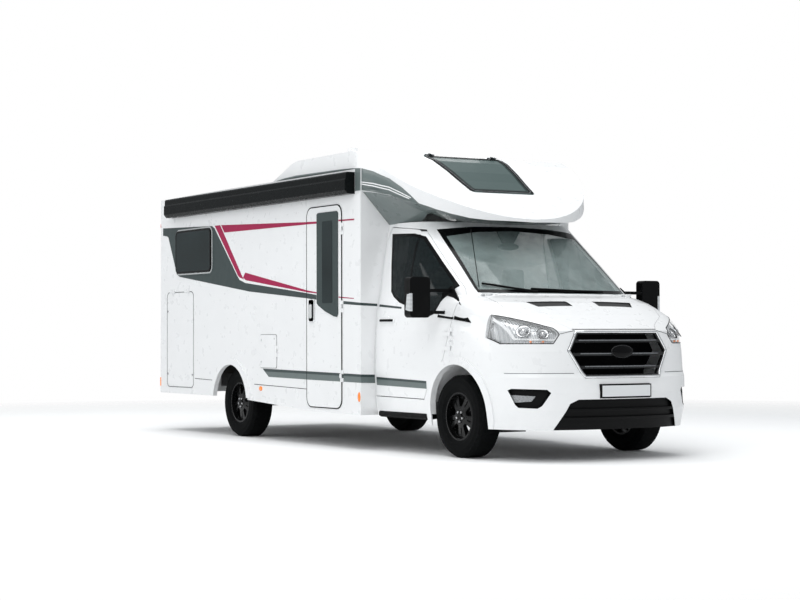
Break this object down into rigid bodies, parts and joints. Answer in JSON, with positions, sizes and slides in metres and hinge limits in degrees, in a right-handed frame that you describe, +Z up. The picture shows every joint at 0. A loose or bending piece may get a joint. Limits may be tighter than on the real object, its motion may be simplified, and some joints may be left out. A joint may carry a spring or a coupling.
{
  "type": "motorhome",
  "caption": "Low-profile coachbuilt motorhome on a van cab, with hinged doors, lids, steering and turning wheels.",
  "frame": {"origin": "on the ground under the middle of the bounding box", "axes": "+X forward, +Y to the vehicle's left (away from the entrance door), +Z up"},
  "size_m": [6.85, 2.7, 2.78],
  "materials": {
    "white_paint": "gloss",
    "white_plastic": "satin",
    "anthracite": "satin",
    "clear_glass": "polished",
    "dark_glass": "polished",
    "black_plastic": "satin",
    "lamp_glass": "polished",
    "dark_steel": "matt",
    "engine_metal": "matt",
    "floor_board": "matt",
    "dash_plastic": "matt",
    "seat_fabric": "matt",
    "tyre": "matt",
    "rim_paint": "satin"
  },
  "bodies": {
    "motorhome": {"roof": "white_paint", "right_wall": "white_paint", "left_wall": "white_paint", "rear_wall": "white_paint", "side_skirts": "white_paint", "overcab_cap": "white_paint", "cab_shell": "white_paint", "front_bumper": "white_paint", "rear_bumper": "white_plastic", "awning": "anthracite", "windscreen": "clear_glass", "side_windows": "dark_glass", "grille": "black_plastic", "step_boards": "black_plastic", "lamps": "lamp_glass", "chassis_frame": "dark_steel", "rear_axle": "dark_steel", "tanks": "dark_steel", "engine": "engine_metal", "floor": "floor_board", "dashboard": "dash_plastic", "cab_seats": "seat_fabric"},
    "knuckle_right": {"knuckle_right": "dark_steel"},
    "knuckle_left": {"knuckle_left": "dark_steel"},
    "wheel_front_right": {"tyre_front_right": "tyre", "rim_front_right": "rim_paint"},
    "wheel_front_left": {"tyre_front_left": "tyre", "rim_front_left": "rim_paint"},
    "wheel_rear_right": {"tyre_rear_right": "tyre", "rim_rear_right": "rim_paint"},
    "wheel_rear_left": {"tyre_rear_left": "tyre", "rim_rear_left": "rim_paint"},
    "cab_door_right": {"cab_door_right": "white_paint", "cab_glass_right": "clear_glass", "mirror_right": "black_plastic"},
    "cab_door_left": {"cab_door_left": "white_paint", "cab_glass_left": "clear_glass", "mirror_left": "black_plastic"},
    "entrance_door": {"entrance_door": "white_paint"},
    "hold_door_right": {"hold_door_right": "white_paint"},
    "hold_door_left": {"hold_door_left": "white_paint"},
    "service_flap": {"service_flap": "white_paint"},
    "hood": {"hood": "white_paint"},
    "skylight": {"skylight": "dark_glass"},
    "roof_hatch": {"roof_hatch": "dark_glass"}
  },
  "joints": [
    {"name": "steering_right", "type": "hinge", "parent": "motorhome", "child": "knuckle_right", "pos_m": [2.375, -0.77, 0.23996], "axis": [0, 0.1918, 0.9814], "range_deg": [-35, 35]},
    {"name": "steering_left", "type": "hinge", "parent": "motorhome", "child": "knuckle_left", "pos_m": [2.375, 0.77, 0.23996], "axis": [0, -0.1918, 0.9814], "range_deg": [-35, 35]},
    {"name": "wheel_front_right_spin", "type": "hinge", "parent": "knuckle_right", "child": "wheel_front_right", "pos_m": [2.375, -0.866, 0.35], "axis": [0, 1, 0], "continuous": true},
    {"name": "wheel_front_left_spin", "type": "hinge", "parent": "knuckle_left", "child": "wheel_front_left", "pos_m": [2.375, 0.866, 0.35], "axis": [0, 1, 0], "continuous": true},
    {"name": "wheel_rear_right_spin", "type": "hinge", "parent": "motorhome", "child": "wheel_rear_right", "pos_m": [-1.579, -0.962, 0.35], "axis": [0, 1, 0], "continuous": true},
    {"name": "wheel_rear_left_spin", "type": "hinge", "parent": "motorhome", "child": "wheel_rear_left", "pos_m": [-1.579, 0.962, 0.35], "axis": [0, 1, 0], "continuous": true},
    {"name": "cab_door_right_hinge", "type": "hinge", "parent": "motorhome", "child": "cab_door_right", "pos_m": [2.333, -1.03, 0.99], "axis": [0, 0, 1], "range_deg": [0, 65]},
    {"name": "cab_door_left_hinge", "type": "hinge", "parent": "motorhome", "child": "cab_door_left", "pos_m": [2.333, 1.03, 0.99], "axis": [0, 0, -1], "range_deg": [0, 65]},
    {"name": "entrance_door_hinge", "type": "hinge", "parent": "motorhome", "child": "entrance_door", "pos_m": [0.742, -1.179, 1.3], "axis": [0, 0, 1], "range_deg": [0, 90]},
    {"name": "hold_door_right_hinge", "type": "hinge", "parent": "motorhome", "child": "hold_door_right", "pos_m": [-2.815, -1.173, 1.51], "axis": [-1, 0, 0], "range_deg": [0, 90]},
    {"name": "hold_door_left_hinge", "type": "hinge", "parent": "motorhome", "child": "hold_door_left", "pos_m": [-2.815, 1.173, 1.51], "axis": [1, 0, 0], "range_deg": [0, 90]},
    {"name": "service_flap_hinge", "type": "hinge", "parent": "motorhome", "child": "service_flap", "pos_m": [-0.551, -1.177, 0.88], "axis": [0, 0, 1], "range_deg": [0, 100]},
    {"name": "hood_hinge", "type": "hinge", "parent": "motorhome", "child": "hood", "pos_m": [2.49, 0, 1.387], "axis": [0, -1, 0], "range_deg": [0, 50]},
    {"name": "skylight_hinge", "type": "hinge", "parent": "motorhome", "child": "skylight", "pos_m": [0.951, 0, 2.7203], "axis": [0, -1, 0], "range_deg": [0, 30]},
    {"name": "roof_hatch_hinge", "type": "hinge", "parent": "motorhome", "child": "roof_hatch", "pos_m": [-1.545, 0, 2.5733], "axis": [0, -1, 0], "range_deg": [0, 50]}
  ],
  "couplings": [
    {"joint": "steering_left", "follows": "steering_right", "ratio": 1}
  ]
}
